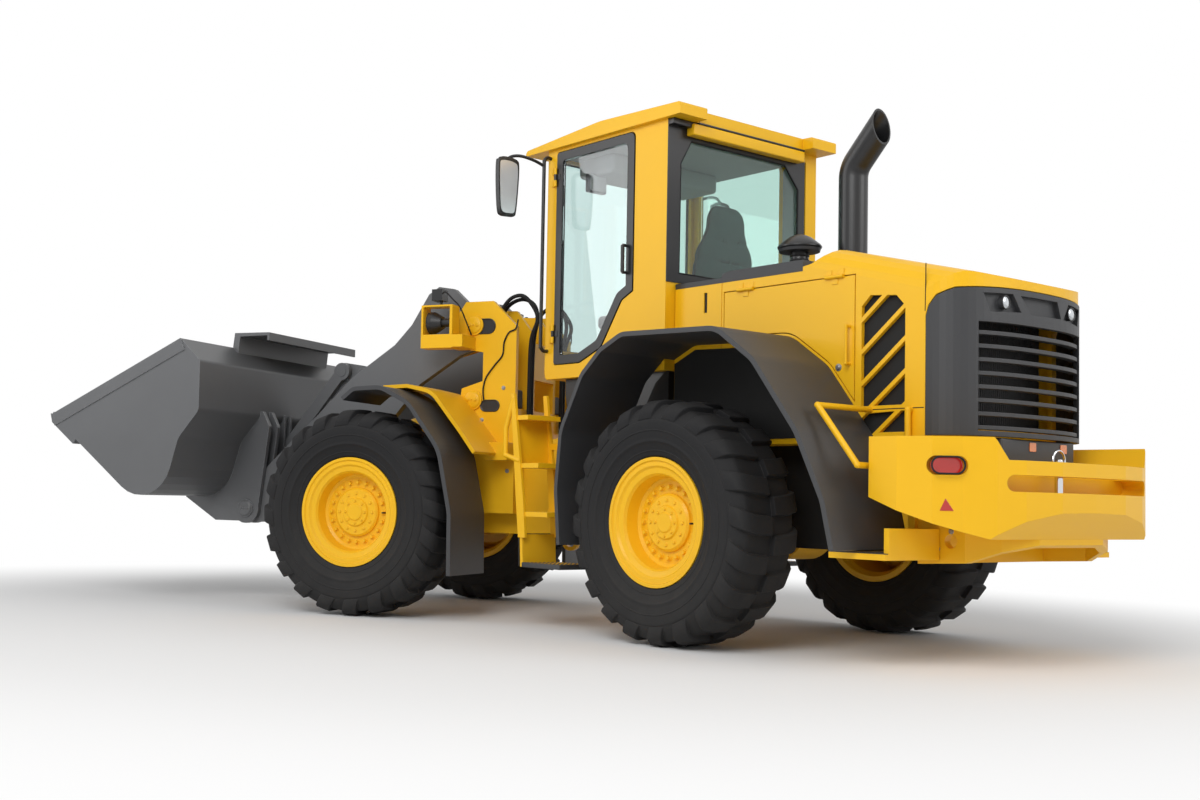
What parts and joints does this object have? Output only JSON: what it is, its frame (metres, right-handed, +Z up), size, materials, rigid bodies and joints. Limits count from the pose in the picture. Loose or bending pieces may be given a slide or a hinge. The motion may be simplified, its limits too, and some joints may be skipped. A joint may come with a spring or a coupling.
{
  "type": "wheel loader",
  "caption": "Articulated wheel loader with a cab, an engine hood, a rear counterweight, lift arms and a wide bucket; it rolls, steers at its centre pivot, lifts and dumps.",
  "frame": {"origin": "middle of the box over everything, on the floor under the tyres, with the front frame turned left", "axes": "+X forward along the rear frame and the cab, +Y to the machine's left, +Z up"},
  "size_m": [7.5881, 4.1712, 3.2339],
  "materials": {
    "yellow_paint": "semi-gloss",
    "steel_paint": "satin",
    "dark_plastic": "satin",
    "tyre": "matte",
    "glass": "clear",
    "chrome": "polished",
    "red_lens": "gloss",
    "trim": "matte",
    "engine_metal": "matte"
  },
  "bodies": {
    "rear_body": {"rear_frame": "yellow_paint", "rear_axle": "yellow_paint", "counterweight": "yellow_paint", "engine_block": "engine_metal", "hood": "yellow_paint", "hood_deck": "dark_plastic", "exhaust": "dark_plastic", "cab_frame": "yellow_paint", "cab_roof": "yellow_paint", "cab_interior": "trim", "cab_windows": "glass", "seat": "trim", "rear_fenders": "dark_plastic", "ladders": "yellow_paint", "mirrors": "dark_plastic", "rear_lamps": "red_lens"},
    "front_body": {"front_frame": "yellow_paint", "front_axle": "yellow_paint", "front_fenders": "dark_plastic", "front_lamps": "dark_plastic"},
    "lift_arm_body": {"lift_arms": "steel_paint"},
    "bucket_body": {"bucket": "steel_paint"},
    "bellcrank_body": {"bellcrank": "steel_paint"},
    "tilt_link_body": {"tilt_links": "steel_paint"},
    "tilt_barrel_body": {"tilt_barrel": "yellow_paint"},
    "tilt_rod_body": {"tilt_rod": "chrome"},
    "cab_door_body": {"cab_door": "dark_plastic", "cab_door_glass": "glass"},
    "grille_body": {"grille": "dark_plastic"},
    "engine_door_body_left": {"engine_door_left": "yellow_paint"},
    "lift_barrel_body_left": {"lift_barrel_left": "yellow_paint"},
    "lift_rod_body_left": {"lift_rod_left": "chrome"},
    "steer_barrel_body_left": {"steer_barrel_left": "yellow_paint"},
    "steer_rod_body_left": {"steer_rod_left": "chrome"},
    "wheel_front_left": {"tyre_front_left": "tyre", "rim_front_left": "yellow_paint"},
    "wheel_rear_left": {"tyre_rear_left": "tyre", "rim_rear_left": "yellow_paint"},
    "engine_door_body_right": {"engine_door_right": "yellow_paint"},
    "lift_barrel_body_right": {"lift_barrel_right": "yellow_paint"},
    "lift_rod_body_right": {"lift_rod_right": "chrome"},
    "steer_barrel_body_right": {"steer_barrel_right": "yellow_paint"},
    "steer_rod_body_right": {"steer_rod_right": "chrome"},
    "wheel_front_right": {"tyre_front_right": "tyre", "rim_front_right": "yellow_paint"},
    "wheel_rear_right": {"tyre_rear_right": "tyre", "rim_rear_right": "yellow_paint"}
  },
  "joints": [
    {"name": "articulation", "type": "hinge", "parent": "rear_body", "child": "front_body", "pos_m": [-0.385, -0.857, 0.865], "axis": [0, 0, 1], "range_deg": [-66.8, 13.2]},
    {"name": "wheel_rear_left", "type": "hinge", "parent": "rear_body", "child": "wheel_rear_left", "pos_m": [-1.885, 0.123, 0.68833], "axis": [0, 1, 0], "continuous": true},
    {"name": "wheel_front_left", "type": "hinge", "parent": "front_body", "child": "wheel_front_left", "pos_m": [0.51202, 0.69405, 0.68833], "axis": [-0.4509, 0.8926, 0], "continuous": true},
    {"name": "wheel_rear_right", "type": "hinge", "parent": "rear_body", "child": "wheel_rear_right", "pos_m": [-1.885, -1.837, 0.68833], "axis": [0, 1, 0], "continuous": true},
    {"name": "wheel_front_right", "type": "hinge", "parent": "front_body", "child": "wheel_front_right", "pos_m": [1.39574, -1.05542, 0.68833], "axis": [-0.4509, 0.8926, 0], "continuous": true},
    {"name": "boom_lift", "type": "hinge", "parent": "front_body", "child": "lift_arm_body", "pos_m": [0.4451, -0.43768, 2], "axis": [0.4509, -0.8926, 0], "range_deg": [-8, 85]},
    {"name": "bucket_tilt", "type": "hinge", "parent": "lift_arm_body", "child": "bucket_body", "pos_m": [2.12317, 0.40997, 0.686], "axis": [-0.4509, 0.8926, 0], "range_deg": [-8, 120]},
    {"name": "bellcrank_turn", "type": "hinge", "parent": "lift_arm_body", "child": "bellcrank_body", "pos_m": [1.655, 0.17348, 1.32101], "axis": [-0.4509, 0.8926, 0], "range_deg": [-9.28, 121.28]},
    {"name": "tilt_link_turn", "type": "hinge", "parent": "bellcrank_body", "child": "tilt_link_body", "pos_m": [1.5899, 0.14059, 1.73463], "axis": [-0.4509, 0.8926, 0], "range_deg": [-121.28, 9.28]},
    {"name": "tilt_barrel_turn", "type": "hinge", "parent": "lift_arm_body", "child": "tilt_barrel_body", "pos_m": [0.4451, -0.43768, 2], "axis": [-0.4509, 0.8926, 0], "range_deg": [-0.48, 6.32]},
    {"name": "tilt_rod_slide", "type": "slide", "parent": "tilt_barrel_body", "child": "tilt_rod_body", "axis": [0.8647, 0.4368, -0.2479], "range_m": [-0.05893, 0.77016]},
    {"name": "lift_barrel_turn_left", "type": "hinge", "parent": "front_body", "child": "lift_barrel_body_left", "pos_m": [0.30984, -0.16991, 1.48], "axis": [0.4509, -0.8926, 0], "range_deg": [-7.96, 76.58]},
    {"name": "lift_rod_slide_left", "type": "slide", "parent": "lift_barrel_body_left", "child": "lift_rod_body_left", "axis": [0.8453, 0.427, -0.321], "range_m": [-0.06996, 0.67319]},
    {"name": "steer_barrel_turn_left", "type": "hinge", "parent": "rear_body", "child": "steer_barrel_body_left", "pos_m": [-1.265, -0.367, 0.82], "axis": [0, 0, 1], "range_deg": [-14.35, 2.97]},
    {"name": "steer_rod_slide_left", "type": "slide", "parent": "steer_barrel_body_left", "child": "steer_rod_body_left", "axis": [0.9997, -0.0235, 0], "range_m": [-0.09152, 0.44193]},
    {"name": "lift_barrel_turn_right", "type": "hinge", "parent": "front_body", "child": "lift_barrel_body_right", "pos_m": [0.58037, -0.70546, 1.48], "axis": [0.4509, -0.8926, 0], "range_deg": [-7.96, 76.58]},
    {"name": "lift_rod_slide_right", "type": "slide", "parent": "lift_barrel_body_right", "child": "lift_rod_body_right", "axis": [0.8453, 0.427, -0.321], "range_m": [-0.06996, 0.67319]},
    {"name": "steer_barrel_turn_right", "type": "hinge", "parent": "rear_body", "child": "steer_barrel_body_right", "pos_m": [-1.265, -1.347, 0.82], "axis": [0, 0, 1], "range_deg": [-10.64, 2.2]},
    {"name": "steer_rod_slide_right", "type": "slide", "parent": "steer_barrel_body_right", "child": "steer_rod_body_right", "axis": [0.979, 0.2037, 0], "range_m": [-0.48928, 0.10133]},
    {"name": "cab_door_swing", "type": "hinge", "parent": "rear_body", "child": "cab_door_body", "pos_m": [-0.438, -0.141, 2.4], "axis": [0, 0, -1], "range_deg": [0, 85]},
    {"name": "engine_door_swing_left", "type": "hinge", "parent": "rear_body", "child": "engine_door_body_left", "pos_m": [-2.335, -0.227, 2.037], "axis": [1, 0, 0], "range_deg": [0, 75]},
    {"name": "engine_door_swing_right", "type": "hinge", "parent": "rear_body", "child": "engine_door_body_right", "pos_m": [-2.335, -1.487, 2.037], "axis": [-1, 0, 0], "range_deg": [0, 75]},
    {"name": "grille_swing", "type": "hinge", "parent": "rear_body", "child": "grille_body", "pos_m": [-3.233, -1.493, 1.55], "axis": [0, 0, 1], "range_deg": [0, 90]}
  ],
  "couplings": [
    {"joint": "bellcrank_turn", "follows": "bucket_tilt", "ratio": 1},
    {"joint": "tilt_link_turn", "follows": "bucket_tilt", "ratio": -1},
    {"joint": "tilt_barrel_turn", "follows": "bucket_tilt", "ratio": 0.052136},
    {"joint": "tilt_rod_slide", "follows": "bucket_tilt", "m_per_rad": 0.36384},
    {"joint": "lift_barrel_turn_left", "follows": "boom_lift", "ratio": 0.89114},
    {"joint": "lift_rod_slide_left", "follows": "boom_lift", "m_per_rad": 0.44886},
    {"joint": "steer_barrel_turn_left", "follows": "articulation", "ratio": 0.21233},
    {"joint": "steer_rod_slide_left", "follows": "articulation", "m_per_rad": -0.37457},
    {"joint": "lift_barrel_turn_right", "follows": "boom_lift", "ratio": 0.89114},
    {"joint": "lift_rod_slide_right", "follows": "boom_lift", "m_per_rad": 0.44886},
    {"joint": "steer_barrel_turn_right", "follows": "articulation", "ratio": 0.15737},
    {"joint": "steer_rod_slide_right", "follows": "articulation", "m_per_rad": 0.4147}
  ]
}
